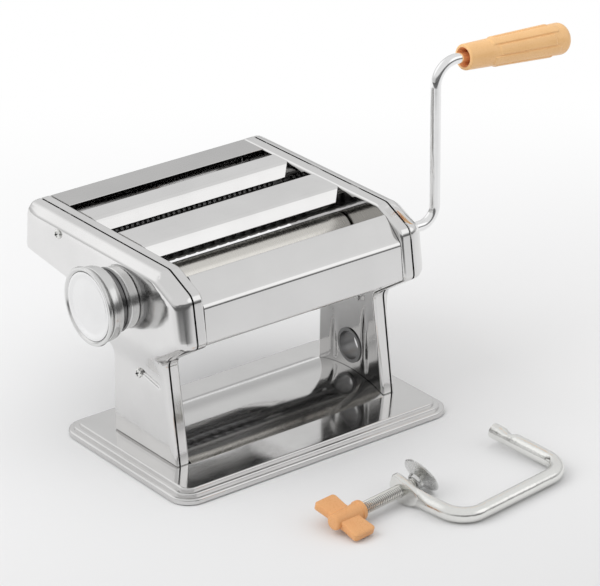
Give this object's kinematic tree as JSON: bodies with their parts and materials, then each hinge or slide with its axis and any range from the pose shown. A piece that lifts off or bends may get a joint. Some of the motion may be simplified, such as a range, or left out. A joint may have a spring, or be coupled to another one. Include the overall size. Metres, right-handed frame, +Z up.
{
  "type": "pasta machine",
  "caption": "Hand-cranked pasta machine with smooth rollers, wide and narrow cutters, a thickness knob, a removable crank and a separate table clamp.",
  "frame": {"origin": "middle of the base, on the plane its rubber feet stand on", "axes": "+X along the rollers towards the crank, -Y towards the smooth rollers' side, +Z up"},
  "size_m": [0.3558, 0.3122, 0.2263],
  "materials": {
    "polished_sheet": "polished stainless sheet",
    "roller_steel": "ground and plated",
    "plain_steel": "plain bright steel",
    "zinc_plate": "zinc-plated, slightly dull",
    "turned_aluminium": "turned, concentric satin grain",
    "nylon": "matt",
    "rubber": "matt black",
    "orange_plastic": "moulded, half gloss"
  },
  "bodies": {
    "base": {"base_plate": "polished_sheet", "rubber_feet": "rubber", "base_screws": "plain_steel", "base_nuts": "plain_steel", "side_frame_left": "polished_sheet", "side_frame_right": "polished_sheet", "side_cover_left": "polished_sheet", "side_cover_right": "polished_sheet", "cover_posts": "plain_steel", "cover_screws": "plain_steel", "front_cover": "polished_sheet", "guide_plate_front": "polished_sheet", "guide_plate_rear": "polished_sheet", "rear_cover": "polished_sheet", "tie_rods": "plain_steel", "tie_rod_screws": "plain_steel", "drive_bushes": "nylon", "cutter_bushes": "nylon", "scraper_front": "plain_steel", "scraper_rear": "plain_steel", "comb_front": "plain_steel", "comb_middle": "plain_steel", "comb_rear": "plain_steel", "regulator_bracket": "plain_steel", "bracket_screws": "plain_steel", "regulator_dial": "nylon", "clamp_sleeve": "plain_steel"},
    "drive_roller": {"drive_roller": "roller_steel", "drive_gear": "plain_steel"},
    "carriage": {"carriage_block_left": "plain_steel", "carriage_block_right": "plain_steel", "carriage_tie_bar": "plain_steel"},
    "rear_roller": {"rear_roller": "roller_steel", "rear_gear": "plain_steel"},
    "wide_front_cutter": {"wide_cutter_front": "roller_steel", "wide_gear_front": "plain_steel"},
    "wide_rear_cutter": {"wide_cutter_rear": "roller_steel", "wide_gear_rear": "plain_steel"},
    "narrow_front_cutter": {"narrow_cutter_front": "roller_steel", "narrow_gear_front": "plain_steel"},
    "narrow_rear_cutter": {"narrow_cutter_rear": "roller_steel", "narrow_gear_rear": "plain_steel"},
    "regulator": {"regulator_shaft": "plain_steel"},
    "knob": {"regulator_knob": "turned_aluminium", "knob_cap": "turned_aluminium", "knob_spring": "plain_steel"},
    "crank": {"crank_rod": "zinc_plate", "grip_clip": "plain_steel"},
    "grip": {"crank_grip": "orange_plastic"},
    "clamp": {"clamp_frame": "zinc_plate"},
    "pad": {"clamp_pad": "zinc_plate"},
    "screw": {"clamp_screw": "zinc_plate", "clamp_handle": "orange_plastic"}
  },
  "joints": [
    {"name": "drive_spin", "type": "hinge", "parent": "base", "child": "drive_roller", "pos_m": [0, -0.018, 0.111], "axis": [1, 0, 0], "continuous": true},
    {"name": "carriage_slide", "type": "slide", "parent": "base", "child": "carriage", "axis": [0, -1, 0], "range_m": [0, 0.0023]},
    {"name": "rear_spin", "type": "hinge", "parent": "carriage", "child": "rear_roller", "pos_m": [0, 0.0085, 0.111], "axis": [1, 0, 0], "continuous": true},
    {"name": "regulator_turn", "type": "hinge", "parent": "base", "child": "regulator", "pos_m": [-0.1, 0.013, 0.1102], "axis": [-1, 0, 0], "range_deg": [0, 180]},
    {"name": "knob_pull", "type": "slide", "parent": "regulator", "child": "knob", "axis": [-1, 0, 0], "range_m": [0, 0.004], "stiffness_N_per_m": 800, "springref_m": -0.003},
    {"name": "crank_pull", "type": "slide", "parent": "drive_roller", "child": "crank", "axis": [1, 0, 0], "range_m": [0, 0.022]},
    {"name": "grip_spin", "type": "hinge", "parent": "crank", "child": "grip", "pos_m": [0.13, -0.018, 0.2195], "axis": [0.9973, 0, -0.0732], "continuous": true},
    {"name": "clamp_lift", "type": "slide", "parent": "base", "child": "clamp", "axis": [0, 0, 1], "range_m": [0, 0.05]},
    {"name": "pad_advance", "type": "slide", "parent": "clamp", "child": "pad", "axis": [0.9917, 0.1288, 0], "range_m": [-0.0049, 0.0279]},
    {"name": "screw_turn", "type": "hinge", "parent": "pad", "child": "screw", "pos_m": [0.00425, -0.14042, 0.00833], "axis": [0.9917, 0.1288, 0], "range_deg": [-1180, 6700]},
    {"name": "wide_front_spin", "type": "hinge", "parent": "base", "child": "wide_front_cutter", "pos_m": [0, 0.0386, 0.1205], "axis": [1, 0, 0], "continuous": true},
    {"name": "wide_rear_spin", "type": "hinge", "parent": "base", "child": "wide_rear_cutter", "pos_m": [0, 0.0564, 0.1205], "axis": [1, 0, 0], "continuous": true},
    {"name": "narrow_front_spin", "type": "hinge", "parent": "base", "child": "narrow_front_cutter", "pos_m": [0, 0.0786, 0.1205], "axis": [1, 0, 0], "continuous": true},
    {"name": "narrow_rear_spin", "type": "hinge", "parent": "base", "child": "narrow_rear_cutter", "pos_m": [0, 0.0964, 0.1205], "axis": [1, 0, 0], "continuous": true}
  ],
  "couplings": [
    {"joint": "rear_spin", "follows": "drive_spin", "ratio": -1},
    {"joint": "regulator_turn", "follows": "carriage_slide", "rad_per_m": 1365.8},
    {"joint": "screw_turn", "follows": "pad_advance", "rad_per_m": 4188.8},
    {"joint": "wide_rear_spin", "follows": "wide_front_spin", "ratio": -1},
    {"joint": "narrow_rear_spin", "follows": "narrow_front_spin", "ratio": -1}
  ]
}
